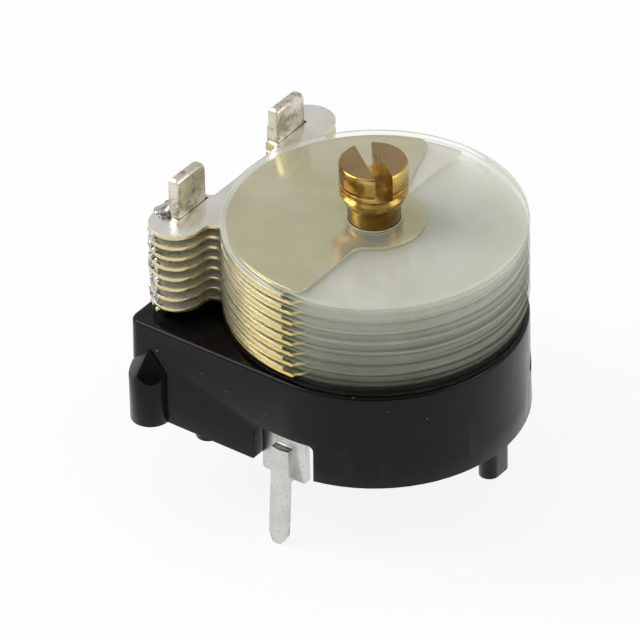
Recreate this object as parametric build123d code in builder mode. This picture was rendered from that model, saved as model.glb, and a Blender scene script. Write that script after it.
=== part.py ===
from build123d import *
from math import atan, cos, degrees, hypot, radians, sin, sqrt
import os

# Film-dielectric trimmer capacitor of the 10 mm class, soldered upright into a board.
# A slotted brass shaft turns nine half-round rotor plates between eight stator plates, and a thin
# round film lies between each plate and the next. The stator plates are threaded on two flat tags
# that stand in the moulded housing. Under its deck a sheet-metal terminal touches the shaft and
# leaves through a window in the front wall as the rotor's solder pin.
# Lengths are in millimetres. The origin is on the shaft's axis in the plane of the board, +Z is up,
# the housing's flat walls run along X, the tags stand at -X and the solder pin hangs at -Y.

# Films
FILM_RADIUS = 4.82
FILM_THICKNESS = 0.05
FILM_HOLE_CLEARANCE = 0.05
FILM_PLAY = 0.035

# Plates and the air beside each film
PLATE_THICKNESS = 0.12
AIR_GAP = 0.0125
STATOR_COUNT = 8
STATOR_INSET = 0.02
STATOR_EDGE_SETBACK = 0.08
STATOR_TAIL_MARGIN = 0.22
STATOR_SHAFT_CLEARANCE = 0.25
ROTOR_INSET = 0.2
ROTOR_EDGE_ANGLE = 80.5
ROTOR_EDGE_OFFSET = 0.49
ROTOR_HUB_RADIUS = 1.64
ROTOR_HUB_FILLET = 0.5
ROTOR_CORNER_RADIUS = 0.4
ROTOR_REST_ANGLE = 10.0
ROTOR_SPACER_RADIUS = 1.25

# Ears of the stator plates and the tags through them
EAR_RADIUS = 0.89
EAR_OUT = 0.09
EAR_RISE = 0.19
EAR_WALL = 0.12
EAR_NECK_FILLET = 0.3
EAR_CORNER_FILLET = 0.7
EAR_TAIL_FILLET = 0.2
TAG_WIDTH = 1.5
TAG_THICKNESS = 0.39
TAG_SHIFT_OUT = 0.18
TAG_SHIFT_IN = 0.85
TAG_RISE_LEFT = 1.42
TAG_RISE_RIGHT = 1.2
TAG_ROUND_CORNER = 0.35
TAG_BLUNT_CORNER = 0.12
TAG_EDGE_BEVEL = 0.1
TAG_END = 0.3
SLOT_CLEARANCE = 0.02
TAG_SPACER_WALL = 0.13
SOLDER_LEG = 0.32

# Shaft, from the screwdriver slot down to the clip
HEAD_RADIUS = 1.09
HEAD_TOP_ABOVE_FILM = 2.07
HEAD_HEIGHT = 0.68
HEAD_EDGE = 0.06
RING_HEIGHT = 0.3
RING_GROOVE = 0.1
COLLAR_HEIGHT = 0.42
COLLAR_TAPER = 0.2
NECK_RADIUS = 0.84
CORE_RADIUS = 0.75
CORE_FLAT = 0.6
KEY_CLEARANCE = 0.01
JOURNAL_RADIUS = 0.57
JOURNAL_CLEARANCE = 0.03
SLOT_WIDTH = 0.56
SLOT_DEPTH = 0.9
SLOT_ANGLE = -36.0
SHAFT_END = 0.25
END_CHAMFER = 0.1

# Housing
FOOT_LENGTH = 1.0
HOUSING_HEIGHT = 3.4
HOUSING_MARGIN = 0.08
TAIL_MARGIN = 0.88
CORNER_RADIUS = 0.45
DRAFT = 1.0
WALL = 0.5
DECK = 0.9
STACK_CLEARANCE = 0.165
TOP_EDGE = 0.12
BEARING_RADIUS = 1.5
BOSS_WALL = 0.35
TAG_BLOCK_WALL = 0.5
TAG_BLOCK_DEPTH = 1.1
WINDOW_WIDTH = 2.25
WINDOW_SHIFT = 0.12
WINDOW_HEIGHT = 1.3
WINDOW_CORNER = 0.2
FRONT_FOOT_WIDTH = 0.68
FRONT_FOOT_LENGTH = 1.1
FRONT_FOOT_INSET = 0.42
REAR_FOOT_RADIUS = 0.4
REAR_FOOT_GAP = 0.4
REAR_FOOT_FORWARD = 1.27
RIB_RADIUS = 0.66
RIB_HEIGHT = 2.55
RIB_TIP = 0.04
RIB_FROM_TAIL = 0.9
GATE_RADIUS = 0.75
GATE_DEPTH = 0.06
GATE_ANGLE = 33.0
GATE_HEIGHT = 2.0

# Rotor terminal, its spring washer and the clip on the shaft
SHEET = 0.22
TERMINAL_DROP = 0.05
TERMINAL_SETBACK = 0.44
TERMINAL_SHIFT = 0.32
FLANGE_WIDTH = 1.58
FLANGE_BELOW_WALL = 0.57
FLANGE_CORNER = 0.12
BEND_RADIUS = 0.2
ARM_WIDTH = 1.1
CONTACT_RADIUS = 1.2
PIN_WIDTH = 0.66
PIN_OFFSET = 0.27
PIN_CREASE = 0.06
PIN_SHOULDER = 0.62
PIN_LENGTH = 2.85
PIN_LEAN = 4.5
PIN_ROOT = 0.16
SHELF_FILLET = 0.12
PIN_TIP_WIDTH = 0.3
PIN_TIP_HEIGHT = 0.3
WASHER_THICKNESS = 0.1
WASHER_BOW = 0.12
WASHER_RADIUS = 1.1
FACE_GAP = 0.01
CLIP_THICKNESS = 0.2
CLIP_RADIUS = 1.0
CLIP_GROOVE_DEPTH = 0.14
CLIP_CLEARANCE = 0.01
CLIP_OPENING = 0.8

# Levels worked out from the sizes above
ROTOR_COUNT = STATOR_COUNT + 1
PLATE_COUNT = STATOR_COUNT + ROTOR_COUNT
FILM_COUNT = PLATE_COUNT + 1
layer_pitch = FILM_THICKNESS + PLATE_THICKNESS + 2 * AIR_GAP
wall_foot = FOOT_LENGTH
deck_top = wall_foot + HOUSING_HEIGHT
deck_bottom = deck_top - DECK
stack_bottom = deck_top + STACK_CLEARANCE
stack_top = stack_bottom + PLATE_COUNT * layer_pitch + FILM_THICKNESS
head_top = stack_top + HEAD_TOP_ABOVE_FILM
terminal_top = wall_foot + WINDOW_HEIGHT - TERMINAL_DROP
terminal_bottom = terminal_top - SHEET
clip_top = terminal_bottom - WASHER_THICKNESS - WASHER_BOW - 2 * FACE_GAP
clip_bottom = clip_top - CLIP_THICKNESS
shaft_bottom = clip_bottom - SHAFT_END

# Radii and places worked out from the sizes above
stator_radius = FILM_RADIUS - STATOR_INSET
rotor_radius = FILM_RADIUS - ROTOR_INSET
housing_radius = FILM_RADIUS + HOUSING_MARGIN
stator_tail = stator_radius + STATOR_TAIL_MARGIN
ear_x = -stator_tail - EAR_OUT
neck_x = ear_x + EAR_RADIUS
neck_y = sqrt((stator_radius + EAR_NECK_FILLET)**2 - (neck_x + EAR_NECK_FILLET)**2)
ear_y = neck_y + EAR_RISE
tag_x = ear_x - TAG_SHIFT_OUT
tag_y = ear_y - TAG_SHIFT_IN
ear_foot = tag_y - TAG_WIDTH / 2 - SLOT_CLEARANCE - EAR_WALL
tail = -tag_x + TAIL_MARGIN
front_foot_x = housing_radius - FRONT_FOOT_INSET
rear_foot_x = tag_x + REAR_FOOT_FORWARD
rear_foot_y = housing_radius - WALL - REAR_FOOT_GAP - REAR_FOOT_RADIUS
terminal_face = housing_radius - TERMINAL_SETBACK
SIDES = (-1, 1)


def plate_bottom(layer):
    """Returns the height of a plate's lower face, with layer 0 the lowest rotor plate."""
    return stack_bottom + FILM_THICKNESS + AIR_GAP + layer * layer_pitch


def rotor_plane(height):
    """Returns the plane at a height that turns with the rotor, at its rest angle."""
    return Plane.XY.offset(height).rotated((0, 0, ROTOR_REST_ANGLE))


stator_bottom = plate_bottom(1)
stator_top = plate_bottom(2 * STATOR_COUNT - 1) + PLATE_THICKNESS

os.makedirs("parts", exist_ok=True)

# Round shank with two flats, the key between the shaft and what turns with it
with BuildSketch() as key_hole:
    Circle(CORE_RADIUS + KEY_CLEARANCE)
    Rectangle(4 * CORE_RADIUS, 2 * (CORE_FLAT + KEY_CLEARANCE), mode=Mode.INTERSECT)

# Rotor plate, symmetrical about its own -X axis
with BuildSketch() as rotor_outline:
    Circle(rotor_radius)
    apex = ROTOR_EDGE_OFFSET / sin(radians(ROTOR_EDGE_ANGLE))
    edge_x = apex - 2 * rotor_radius * cos(radians(ROTOR_EDGE_ANGLE))
    edge_y = 2 * rotor_radius * sin(radians(ROTOR_EDGE_ANGLE))
    with BuildLine():
        Polyline(
            (apex, 0), (edge_x, edge_y), (-2 * rotor_radius, edge_y),
            (-2 * rotor_radius, -edge_y), (edge_x, -edge_y), close=True,
        )
    make_face(mode=Mode.INTERSECT)
    fillet(rotor_outline.vertices().sort_by_distance((0, 0))[-2:], ROTOR_CORNER_RADIUS)
    Circle(ROTOR_HUB_RADIUS)
    hub_corners = [v for v in rotor_outline.vertices() if abs(hypot(v.X, v.Y) - ROTOR_HUB_RADIUS) < 0.001]
    fillet([v for v in hub_corners if abs(v.Y) > ROTOR_HUB_RADIUS / 2], ROTOR_HUB_FILLET)
    add(key_hole.sketch, mode=Mode.SUBTRACT)

# Stator plate: a half disc with a straight tail edge, and an ear round each tag
with BuildSketch() as stator_outline:
    Circle(stator_radius)
    with Locations((-STATOR_EDGE_SETBACK, 0)):
        Rectangle(2 * stator_radius, 2 * stator_radius, align=(Align.MIN, Align.CENTER), mode=Mode.SUBTRACT)
    with Locations((-stator_tail, 0)):
        Rectangle(EAR_RADIUS - EAR_OUT, 2 * ear_y, align=(Align.MIN, Align.CENTER))
    for side, align in ((1, Align.MIN), (-1, Align.MAX)):
        with Locations((ear_x, side * ear_foot)):
            Rectangle(2 * EAR_RADIUS, ear_y - ear_foot, align=(Align.CENTER, align))
        with Locations((ear_x, side * ear_y)):
            Circle(EAR_RADIUS)
        neck = stator_outline.vertices().sort_by_distance((neck_x, side * sqrt(stator_radius**2 - neck_x**2)))
        fillet(neck[0], EAR_NECK_FILLET)
        corner = stator_outline.vertices().sort_by_distance((ear_x - EAR_RADIUS, side * ear_foot))
        fillet(corner[0], EAR_CORNER_FILLET)
        foot = stator_outline.vertices().sort_by_distance((-stator_tail, side * ear_foot))
        fillet(foot[0], EAR_TAIL_FILLET)
    Circle(ROTOR_SPACER_RADIUS + STATOR_SHAFT_CLEARANCE, mode=Mode.SUBTRACT)
    with Locations((tag_x, tag_y), (tag_x, -tag_y)):
        Rectangle(TAG_THICKNESS + 2 * SLOT_CLEARANCE, TAG_WIDTH + 2 * SLOT_CLEARANCE, mode=Mode.SUBTRACT)

# Films, the lowest first, each lying a little off centre round the spacers
for layer in range(FILM_COUNT):
    level = stack_bottom + layer * layer_pitch
    lean = radians(137.5 * layer)
    hole = NECK_RADIUS if layer == FILM_COUNT - 1 else ROTOR_SPACER_RADIUS
    with BuildPart() as film:
        with BuildSketch(Plane.XY.offset(level)):
            with Locations((FILM_PLAY * cos(lean), FILM_PLAY * sin(lean))):
                Circle(FILM_RADIUS)
                Circle(hole + FILM_HOLE_CLEARANCE, mode=Mode.SUBTRACT)
        extrude(amount=FILM_THICKNESS)
    name = f"film_{FILM_COUNT - layer}"
    film.part.label = name
    export_step(film.part, f"parts/{name}.step")

# Rotor plates on the even layers, numbered from the top
for index in range(ROTOR_COUNT):
    with BuildPart() as rotor_plate:
        with BuildSketch(rotor_plane(plate_bottom(2 * index))):
            add(rotor_outline.sketch)
        extrude(amount=PLATE_THICKNESS)
    name = f"rotor_plate_{ROTOR_COUNT - index}"
    rotor_plate.part.label = name
    export_step(rotor_plate.part, f"parts/{name}.step")

# Rotor spacers under each rotor plate, the lowest one running on the deck
for index in range(ROTOR_COUNT):
    top = plate_bottom(2 * index)
    bottom = deck_top + FACE_GAP if index == 0 else plate_bottom(2 * index - 2) + PLATE_THICKNESS
    with BuildPart() as rotor_spacer:
        with BuildSketch(rotor_plane(bottom)):
            Circle(ROTOR_SPACER_RADIUS)
            add(key_hole.sketch, mode=Mode.SUBTRACT)
        extrude(amount=top - bottom)
    name = f"rotor_spacer_{ROTOR_COUNT - index}"
    rotor_spacer.part.label = name
    export_step(rotor_spacer.part, f"parts/{name}.step")

# Stator plates on the odd layers, numbered from the top
for index in range(STATOR_COUNT):
    with BuildPart() as stator_plate:
        with BuildSketch(Plane.XY.offset(plate_bottom(2 * index + 1))):
            add(stator_outline.sketch)
        extrude(amount=PLATE_THICKNESS)
    name = f"stator_plate_{STATOR_COUNT - index}"
    stator_plate.part.label = name
    export_step(stator_plate.part, f"parts/{name}.step")

# Pairs of collars round the tags that hold the stator plates apart
for index in range(STATOR_COUNT - 1):
    bottom = plate_bottom(2 * index + 1) + PLATE_THICKNESS
    top = plate_bottom(2 * index + 3)
    with BuildPart() as stator_spacer:
        with BuildSketch(Plane.XY.offset(bottom)):
            with Locations((tag_x, tag_y), (tag_x, -tag_y)):
                collar = SLOT_CLEARANCE + TAG_SPACER_WALL
                RectangleRounded(TAG_THICKNESS + 2 * collar, TAG_WIDTH + 2 * collar, TAG_SPACER_WALL)
                Rectangle(
                    TAG_THICKNESS + 2 * SLOT_CLEARANCE, TAG_WIDTH + 2 * SLOT_CLEARANCE,
                    mode=Mode.SUBTRACT,
                )
        extrude(amount=top - bottom)
    name = f"stator_spacer_{STATOR_COUNT - 1 - index}"
    stator_spacer.part.label = name
    export_step(stator_spacer.part, f"parts/{name}.step")

# Tags: flat strips with rounded and bevelled tops, ending under their blocks in the housing
tag_bottom = deck_bottom - TAG_BLOCK_DEPTH - TAG_END
for side, rise, name in ((-1, TAG_RISE_LEFT, "stator_tag_left"), (1, TAG_RISE_RIGHT, "stator_tag_right")):
    with BuildPart() as tag:
        with BuildSketch(Plane.YZ.offset(tag_x - TAG_THICKNESS / 2)) as face:
            with Locations((side * tag_y, tag_bottom)):
                Rectangle(TAG_WIDTH, stator_top + rise - tag_bottom, align=(Align.CENTER, Align.MIN))
            blunt_corner, round_corner = face.vertices().group_by(Axis.Y)[-1].sort_by(Axis.X)
            fillet(round_corner, TAG_ROUND_CORNER)
            fillet(blunt_corner, TAG_BLUNT_CORNER)
        extrude(amount=TAG_THICKNESS)
        chamfer(tag.edges().group_by(Axis.Z)[-1], TAG_EDGE_BEVEL)
    tag.part.label = name
    export_step(tag.part, f"parts/{name}.step")

# Solder along the outer side of each tag, a hollow fillet on the top plate
with BuildPart() as tag_solder:
    for side in SIDES:
        with BuildSketch(Plane.XZ.offset(-side * tag_y + TAG_WIDTH / 2)):
            with BuildLine():
                corner = (tag_x - TAG_THICKNESS / 2, stator_top)
                up = (corner[0], corner[1] + SOLDER_LEG)
                out = (corner[0] - SOLDER_LEG, corner[1])
                Line(corner, up)
                RadiusArc(up, out, SOLDER_LEG)
                Line(out, corner)
            make_face()
        extrude(amount=-TAG_WIDTH)
tag_solder.part.label = "tag_solder"
export_step(tag_solder.part, "parts/tag_solder.step")

# Shaft: slotted head, ring and tapered collar, keyed core, journal and clip groove
ring_top = head_top - HEAD_HEIGHT
ring_bottom = ring_top - RING_HEIGHT
collar_bottom = ring_bottom - COLLAR_HEIGHT
core_top = plate_bottom(2 * ROTOR_COUNT - 2) + PLATE_THICKNESS
core_bottom = deck_top + FACE_GAP
with BuildPart() as rotor_shaft:
    with BuildSketch(Plane.XZ):
        with BuildLine():
            Polyline(
                (0, shaft_bottom),
                (JOURNAL_RADIUS - END_CHAMFER, shaft_bottom),
                (JOURNAL_RADIUS, shaft_bottom + END_CHAMFER),
                (JOURNAL_RADIUS, clip_bottom),
                (JOURNAL_RADIUS - CLIP_GROOVE_DEPTH, clip_bottom),
                (JOURNAL_RADIUS - CLIP_GROOVE_DEPTH, clip_top),
                (JOURNAL_RADIUS, clip_top),
                (JOURNAL_RADIUS, core_bottom),
                (CORE_RADIUS, core_bottom),
                (CORE_RADIUS, core_top),
                (NECK_RADIUS, core_top),
                (NECK_RADIUS, collar_bottom),
                (HEAD_RADIUS - COLLAR_TAPER, collar_bottom),
                (HEAD_RADIUS, ring_bottom - RING_GROOVE),
                (HEAD_RADIUS - RING_GROOVE, ring_bottom),
                (HEAD_RADIUS, ring_bottom + RING_GROOVE),
                (HEAD_RADIUS, ring_top - HEAD_EDGE),
                (HEAD_RADIUS - HEAD_EDGE, ring_top),
                (HEAD_RADIUS, ring_top + HEAD_EDGE),
                (HEAD_RADIUS, head_top - HEAD_EDGE),
                (HEAD_RADIUS - HEAD_EDGE, head_top),
                (0, head_top),
                close=True,
            )
        make_face()
    revolve(axis=Axis.Z)
    # Flats on the core
    with BuildSketch(rotor_plane(core_bottom)):
        with Locations((0, CORE_FLAT)):
            Rectangle(4 * CORE_RADIUS, CORE_RADIUS, align=(Align.CENTER, Align.MIN))
        with Locations((0, -CORE_FLAT)):
            Rectangle(4 * CORE_RADIUS, CORE_RADIUS, align=(Align.CENTER, Align.MAX))
    extrude(amount=core_top - core_bottom, mode=Mode.SUBTRACT)
    # Screwdriver slot
    with BuildSketch(Plane.XY.offset(head_top).rotated((0, 0, SLOT_ANGLE))):
        Rectangle(4 * HEAD_RADIUS, SLOT_WIDTH)
    extrude(amount=-SLOT_DEPTH, mode=Mode.SUBTRACT)
rotor_shaft.part.label = "rotor_shaft"
export_step(rotor_shaft.part, "parts/rotor_shaft.step")

# Pointed ribs for the flat walls: round, under four planes that meet in a point
rib_x = -tail + RIB_FROM_TAIL
with BuildPart() as ribs:
    with BuildSketch(Plane.XY.offset(wall_foot)):
        with Locations((rib_x, housing_radius), (rib_x, -housing_radius)):
            Circle(RIB_RADIUS)
    extrude(amount=RIB_HEIGHT)
    with BuildSketch(Plane.XY.offset(wall_foot)):
        with Locations((rib_x, housing_radius), (rib_x, -housing_radius)):
            Rectangle(RIB_HEIGHT * sqrt(2), RIB_HEIGHT * sqrt(2), rotation=45)
    extrude(amount=RIB_HEIGHT - RIB_TIP, taper=degrees(atan(1 / sqrt(2))), mode=Mode.INTERSECT)

# Housing: a drafted tub, open underneath, with the deck as its floor
with BuildPart() as housing:
    with BuildSketch(Plane.XY.offset(wall_foot)) as outline:
        with Locations((-tail, 0)):
            Rectangle(tail, 2 * housing_radius, align=(Align.MIN, Align.CENTER))
        fillet(outline.vertices().group_by(Axis.X)[0], CORNER_RADIUS)
        Circle(housing_radius)
    extrude(amount=HOUSING_HEIGHT, taper=DRAFT)
    fillet(housing.edges().group_by(Axis.Z)[-1], TOP_EDGE)
    add(ribs.part)
    # Hollow under the deck
    with BuildSketch(Plane.XY.offset(wall_foot)) as hollow:
        with Locations((-tail + WALL, 0)):
            Rectangle(tail - WALL, 2 * (housing_radius - WALL), align=(Align.MIN, Align.CENTER))
        fillet(hollow.vertices().group_by(Axis.X)[0], CORNER_RADIUS / 2)
        Circle(housing_radius - WALL)
    extrude(amount=HOUSING_HEIGHT - DECK, mode=Mode.SUBTRACT)
    # Bearing round the shaft
    with BuildSketch(Plane.XY.offset(terminal_top)):
        Circle(BEARING_RADIUS)
    extrude(amount=deck_bottom - terminal_top)
    # Blocks round the tags, in the two rear corners of the hollow
    block_end = tag_x + TAG_THICKNESS / 2 + TAG_BLOCK_WALL
    block_side = tag_y - TAG_WIDTH / 2 - TAG_BLOCK_WALL
    with BuildSketch(Plane.XY.offset(deck_bottom - TAG_BLOCK_DEPTH)):
        for side, align in ((1, Align.MAX), (-1, Align.MIN)):
            with Locations((block_end, side * (housing_radius - WALL / 2))):
                Rectangle(
                    block_end + tail - WALL / 2, housing_radius - WALL / 2 - block_side,
                    align=(Align.MAX, align),
                )
    extrude(amount=TAG_BLOCK_DEPTH)
    # Bosses under the ears
    with BuildSketch(Plane.XY.offset(deck_top)):
        with Locations((tag_x, tag_y), (tag_x, -tag_y)):
            RectangleRounded(TAG_THICKNESS + 2 * BOSS_WALL, TAG_WIDTH + 2 * BOSS_WALL, BOSS_WALL)
    extrude(amount=stator_bottom - deck_top)
    # Feet, one long in the front of the wall and two round in the hollow
    with BuildSketch(Plane.XY):
        with Locations((front_foot_x, 0)):
            SlotOverall(FRONT_FOOT_LENGTH, FRONT_FOOT_WIDTH, rotation=90)
        with Locations((rear_foot_x, rear_foot_y), (rear_foot_x, -rear_foot_y)):
            Circle(REAR_FOOT_RADIUS)
    extrude(amount=deck_bottom)
    # Bore for the shaft and slots for the tags
    with BuildSketch(Plane.XY.offset(wall_foot)):
        Circle(JOURNAL_RADIUS + JOURNAL_CLEARANCE)
        with Locations((tag_x, tag_y), (tag_x, -tag_y)):
            Rectangle(TAG_THICKNESS + 2 * SLOT_CLEARANCE, TAG_WIDTH + 2 * SLOT_CLEARANCE)
    extrude(amount=stator_bottom - wall_foot, mode=Mode.SUBTRACT)
    # Window for the terminal
    with BuildSketch(Plane.XZ.offset(housing_radius - 2 * WALL)) as window:
        with Locations((-WINDOW_SHIFT, wall_foot)):
            Rectangle(WINDOW_WIDTH, 2 * WINDOW_HEIGHT)
        fillet(window.vertices().group_by(Axis.Y)[-1], WINDOW_CORNER)
    extrude(amount=3 * WALL, mode=Mode.SUBTRACT)
    # Shallow round mark of the mould's gate
    gate_axis = Vector(cos(radians(GATE_ANGLE)), sin(radians(GATE_ANGLE)), 0)
    gate_centre = gate_axis * (housing_radius - GATE_DEPTH) + Vector(0, 0, wall_foot + GATE_HEIGHT)
    with BuildSketch(Plane(origin=gate_centre, z_dir=gate_axis)):
        Circle(GATE_RADIUS)
    extrude(amount=WALL, mode=Mode.SUBTRACT)
housing.part.label = "housing"
export_step(housing.part, "parts/housing.step")

# Creased pin of the rotor terminal: a shallow V in plan that leans outwards from its shelf
pin_length = (PIN_LENGTH + PIN_SHOULDER) / cos(radians(PIN_LEAN))
pin_head = (PIN_SHOULDER + FLANGE_BELOW_WALL) / cos(radians(PIN_LEAN))
pin_top = Plane(
    origin=(-TERMINAL_SHIFT, -terminal_face, wall_foot + PIN_SHOULDER),
    x_dir=(1, 0, 0),
    z_dir=(0, -sin(radians(PIN_LEAN)), -cos(radians(PIN_LEAN))),
)
with BuildPart() as pin:
    # The section's own Y axis points away from the housing
    with BuildSketch(pin_top):
        with BuildLine():
            Polyline(
                (-PIN_WIDTH / 2, PIN_OFFSET - SHEET),
                (-PIN_WIDTH / 2, PIN_OFFSET),
                (0, PIN_OFFSET + PIN_CREASE),
                (PIN_WIDTH / 2, PIN_OFFSET),
                (PIN_WIDTH / 2, PIN_OFFSET - SHEET),
                close=True,
            )
        make_face()
    extrude(amount=pin_length)
    # Head of the pin, which fills the step between the pin and the flange
    with BuildSketch(pin_top):
        with Locations((0, -PIN_ROOT)):
            Rectangle(PIN_WIDTH, PIN_ROOT + PIN_OFFSET - SHEET / 2, align=(Align.CENTER, Align.MIN))
    extrude(amount=pin_head)
    # Tapered tip
    tip_side = Plane(origin=pin_top.origin, x_dir=(1, 0, 0), z_dir=pin_top.y_dir)
    with BuildSketch(tip_side):
        with BuildLine():
            Polyline(
                (-PIN_TIP_WIDTH / 2, -pin_length),
                (PIN_TIP_WIDTH / 2, -pin_length),
                (PIN_WIDTH / 2, PIN_TIP_HEIGHT - pin_length),
                (PIN_WIDTH / 2, 0),
                (-PIN_WIDTH / 2, 0),
                (-PIN_WIDTH / 2, PIN_TIP_HEIGHT - pin_length),
                close=True,
            )
        make_face()
    extrude(amount=2 * PIN_OFFSET, both=True, mode=Mode.INTERSECT)

# Rotor terminal: contact ring, arm and bent flange with the pin set forward of it
with BuildPart() as rotor_terminal:
    with BuildSketch(Plane.YZ) as bent_sheet:
        with Locations((-terminal_face, terminal_top)):
            Rectangle(terminal_face + CONTACT_RADIUS, SHEET, align=(Align.MIN, Align.MAX))
            Rectangle(SHEET, terminal_top - wall_foot + FLANGE_BELOW_WALL, align=(Align.MIN, Align.MAX))
        bend_inner = bent_sheet.vertices().sort_by_distance((SHEET - terminal_face, terminal_bottom))[0]
        fillet(bend_inner, BEND_RADIUS)
        bend_outer = bent_sheet.vertices().sort_by_distance((-terminal_face, terminal_top))[0]
        fillet(bend_outer, BEND_RADIUS + SHEET)
    extrude(amount=CONTACT_RADIUS + TERMINAL_SHIFT, both=True)
    # Plan of the blank
    with BuildSketch(Plane.XY.offset(wall_foot - FLANGE_BELOW_WALL)):
        Circle(CONTACT_RADIUS)
        Rectangle(ARM_WIDTH, terminal_face - SHEET, align=(Align.CENTER, Align.MAX))
        with Locations((-TERMINAL_SHIFT, -terminal_face)):
            Rectangle(FLANGE_WIDTH, 2 * (BEND_RADIUS + SHEET), align=(Align.CENTER, Align.MIN))
        Circle(JOURNAL_RADIUS + JOURNAL_CLEARANCE, mode=Mode.SUBTRACT)
    extrude(amount=terminal_top - wall_foot + FLANGE_BELOW_WALL, mode=Mode.INTERSECT)
    flange_corners = rotor_terminal.edges().filter_by(Axis.Y).group_by(Axis.Z)[0]
    fillet(flange_corners, FLANGE_CORNER)
    add(pin.part)
    shelf = (-TERMINAL_SHIFT, -terminal_face, wall_foot + PIN_SHOULDER)
    fillet(rotor_terminal.edges().filter_by(Axis.X).sort_by_distance(shelf)[0], SHELF_FILLET)
rotor_terminal.part.label = "rotor_terminal"
export_step(rotor_terminal.part, "parts/rotor_terminal.step")

# Curved spring washer between the terminal and the clip
washer_foot = clip_top + FACE_GAP
with BuildPart() as spring_washer:
    with BuildSketch(Plane.XZ) as bowed_sheet:
        with BuildLine():
            lower = ThreePointArc(
                (-WASHER_RADIUS, washer_foot), (0, washer_foot + WASHER_BOW), (WASHER_RADIUS, washer_foot),
            )
            upper = ThreePointArc(
                (-WASHER_RADIUS, washer_foot + WASHER_THICKNESS),
                (0, washer_foot + WASHER_BOW + WASHER_THICKNESS),
                (WASHER_RADIUS, washer_foot + WASHER_THICKNESS),
            )
            Line(lower @ 0, upper @ 0)
            Line(lower @ 1, upper @ 1)
        make_face()
    extrude(amount=WASHER_RADIUS, both=True)
    with BuildSketch(Plane.XY.offset(washer_foot)):
        Circle(WASHER_RADIUS)
        Circle(JOURNAL_RADIUS + JOURNAL_CLEARANCE, mode=Mode.SUBTRACT)
    extrude(amount=WASHER_BOW + WASHER_THICKNESS, mode=Mode.INTERSECT)
spring_washer.part.label = "spring_washer"
export_step(spring_washer.part, "parts/spring_washer.step")

# Open clip in the groove at the shaft's end
with BuildPart() as shaft_clip:
    with BuildSketch(Plane.XY.offset(clip_bottom + CLIP_CLEARANCE)):
        Circle(CLIP_RADIUS)
        Circle(JOURNAL_RADIUS - CLIP_GROOVE_DEPTH + CLIP_CLEARANCE, mode=Mode.SUBTRACT)
        Rectangle(2 * CLIP_RADIUS, CLIP_OPENING, align=(Align.MIN, Align.CENTER), mode=Mode.SUBTRACT)
    extrude(amount=CLIP_THICKNESS - 2 * CLIP_CLEARANCE)
shaft_clip.part.label = "shaft_clip"
export_step(shaft_clip.part, "parts/shaft_clip.step")
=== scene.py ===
import logging
import math
from collections.abc import Callable, Mapping, Sequence
from dataclasses import dataclass, replace
from enum import Enum
from functools import cache

import bmesh
import bpy
from mathutils import Matrix, Vector, noise


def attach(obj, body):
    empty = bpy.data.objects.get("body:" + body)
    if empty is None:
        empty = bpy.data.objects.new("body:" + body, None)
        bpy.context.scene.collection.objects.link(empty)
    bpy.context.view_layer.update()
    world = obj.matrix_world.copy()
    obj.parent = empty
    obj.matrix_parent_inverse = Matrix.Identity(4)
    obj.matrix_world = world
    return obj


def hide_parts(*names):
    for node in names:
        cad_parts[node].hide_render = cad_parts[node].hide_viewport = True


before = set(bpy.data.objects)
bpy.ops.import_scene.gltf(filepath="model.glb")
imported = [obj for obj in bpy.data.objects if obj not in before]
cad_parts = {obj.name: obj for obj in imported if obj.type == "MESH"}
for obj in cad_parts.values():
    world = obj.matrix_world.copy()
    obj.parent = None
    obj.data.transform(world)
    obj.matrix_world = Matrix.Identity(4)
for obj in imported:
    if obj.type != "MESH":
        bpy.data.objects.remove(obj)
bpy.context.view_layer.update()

# Visual model of a film-dielectric trimmer capacitor. Sizes are typed in millimetres and turned to
# metres as each mesh is finished. The origin is on the shaft's axis in the plane of the board.

MM = 0.001
MERGE = 0.0005  # vertices within this many millimetres are one
LOG = logging.getLogger("trimmer")

Mesh = bmesh.types.BMesh
Tree = bpy.types.NodeTree
Socket = bpy.types.NodeSocket
# What feeds a node's input: a number, a hex colour, a vector or another node's output
Value = float | str | tuple[float, ...] | Socket
# What feeds a node's inputs, in the node's own order, or by their names or numbers
Inputs = Sequence[Value] | Mapping[str | int, Value]
# A colour ramp's two places, from 0 to 1, with their colours
Stops = Sequence[tuple[float, Value]]
# Both ends of a value, then what the two ends turn into
Span = tuple[float, float, float, float]
Pair = tuple[float, float]


class Body(Enum):
    """The two bodies of the part that a piece can ride on."""

    STATOR = "stator"
    ROTOR = "rotor"


class Slot(Enum):
    """The record's material slots."""

    BLACK_PLASTIC = "black_plastic"
    FILM = "film"
    BRASS_PLATE = "brass_plate"
    BRASS_SPACER = "brass_spacer"
    SILVER_PLATE = "silver_plate"
    SILVER_SPACER = "silver_spacer"
    TINNED_TAG = "tinned_tag"
    TURNED_BRASS = "turned_brass"
    TINNED_SHEET = "tinned_sheet"
    SOLDER = "solder"
    SPRING_BRONZE = "spring_bronze"
    CLIP_STEEL = "clip_steel"


# ---------------------------------------------------------------- mesh helpers


def put(name: str, data: bpy.types.ID) -> bpy.types.Object:
    """Puts a new object in the scene.

    Args:
        name: The object's name.
        data: Its mesh, lamp or camera.

    Returns:
        The object.
    """
    made = bpy.data.objects.new(name, data)
    bpy.context.scene.collection.objects.link(made)
    return made


def put_mesh(name: str, mesh: Mesh) -> bpy.types.Object:
    """Puts a new object with this mesh in the scene.

    Args:
        name: The name of the object and its mesh.
        mesh: The mesh, which is freed.

    Returns:
        The object.
    """
    data = bpy.data.meshes.new(name)
    mesh.to_mesh(data)
    mesh.free()
    return put(name, data)


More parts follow.
